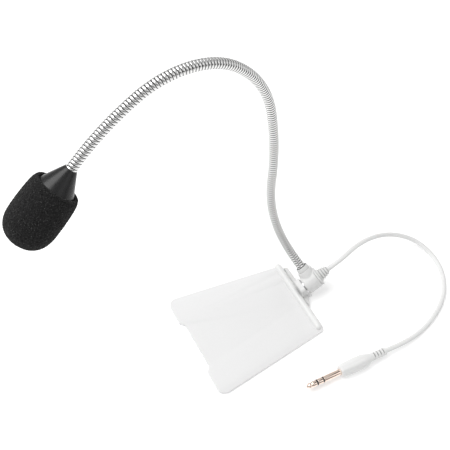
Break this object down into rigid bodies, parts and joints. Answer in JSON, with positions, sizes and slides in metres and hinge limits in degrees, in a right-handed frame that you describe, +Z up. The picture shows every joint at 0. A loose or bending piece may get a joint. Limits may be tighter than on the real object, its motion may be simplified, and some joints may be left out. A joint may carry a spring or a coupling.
{
  "type": "gooseneck microphone",
  "caption": "Small gooseneck microphone with foam windscreen, swivel barrel, slide-under foot plate and a short lead with a long small-diameter jack plug.",
  "frame": {"origin": "middle of the underside of the foot plate", "axes": "+X from the notched end of the plate to its bead end, +Y across the plate to the side that the neck leans to, +Z up"},
  "size_m": [0.2392, 0.0988, 0.177],
  "materials": {
    "white_enamel": "satin white powder coat on steel sheet",
    "white_plastic": "satin white moulded plastic",
    "white_rubber": "matt white flexible moulding",
    "white_cord": "smooth white flexible jacket",
    "steel": "plain bright steel",
    "neck_coil": "satin wound coil",
    "brass": "plain turned brass",
    "gold_plate": "polished gold plate",
    "black_plastic": "satin black moulded plastic",
    "black_foam": "open-cell foam, matt",
    "black_felt": "thin felt",
    "black_rubber": "matt moulded rubber",
    "grey_lead": "matt flexible jacket",
    "capsule_can": "bright can",
    "green_board": "laminate with lacquer",
    "red_wire": "smooth insulation"
  },
  "bodies": {
    "base": {"foot_plate": "white_enamel", "stop_bead": "white_plastic", "plate_screws": "steel", "bracket": "white_plastic", "friction_washer": "steel", "cord": "white_cord", "plug_handle": "white_plastic", "plug_sleeve": "gold_plate", "plug_ring": "gold_plate", "plug_tip": "gold_plate", "plug_insulators": "black_plastic"},
    "swivel": {"pivot_screw": "steel", "pivot_insert": "brass", "barrel_body": "white_plastic", "barrel_cap": "white_plastic", "strain_relief": "white_rubber", "cord_tail": "white_cord", "barrel_lead": "grey_lead", "lower_ferrule": "steel", "socket_collar": "white_plastic", "collar_seal": "black_rubber", "neck_section_1": "neck_coil", "neck_lead_1": "grey_lead"},
    "neck_2": {"neck_section_2": "neck_coil", "neck_lead_2": "grey_lead"},
    "neck_3": {"neck_section_3": "neck_coil", "neck_lead_3": "grey_lead"},
    "neck_4": {"neck_section_4": "neck_coil", "neck_lead_4": "grey_lead"},
    "neck_5": {"neck_section_5": "neck_coil", "neck_lead_5": "grey_lead"},
    "head": {"neck_section_6": "neck_coil", "neck_lead_6": "grey_lead", "upper_ferrule": "steel", "capsule_housing": "black_plastic", "capsule_boot": "black_rubber", "capsule": "capsule_can", "capsule_felt": "black_felt", "capsule_board": "green_board", "capsule_wires": "red_wire", "grille_cap": "black_plastic", "windscreen": "black_foam"}
  },
  "joints": [
    {"name": "barrel_swivel", "type": "hinge", "parent": "base", "child": "swivel", "pos_m": [0.0435, 0.003, 0.01], "axis": [0.866, 0, 0.5], "range_deg": [-30, 60]},
    {"name": "neck_root_bend", "type": "hinge", "parent": "swivel", "child": "neck_2", "pos_m": [0.03189, 0.02704, 0.03608], "axis": [0.0937, 0.9484, -0.3028], "range_deg": [-15, 20]},
    {"name": "neck_lower_side_bend", "type": "hinge", "parent": "neck_2", "child": "neck_3", "pos_m": [0.02689, 0.03564, 0.07557], "axis": [0.9992, 0, -0.0403], "range_deg": [-25, 25]},
    {"name": "neck_middle_bend", "type": "hinge", "parent": "neck_3", "child": "neck_4", "pos_m": [0.02252, 0.03977, 0.12658], "axis": [0.0132, 0.998, -0.0614], "range_deg": [-20, 25]},
    {"name": "neck_upper_side_bend", "type": "hinge", "parent": "neck_4", "child": "neck_5", "pos_m": [-0.00031, 0.04016, 0.16438], "axis": [0.6412, 0, 0.7674], "range_deg": [-30, 30]},
    {"name": "neck_top_bend", "type": "hinge", "parent": "neck_5", "child": "head", "pos_m": [-0.04844, 0.03707, 0.16889], "axis": [-0.0517, 0.9982, -0.0289], "range_deg": [-25, 30]}
  ]
}
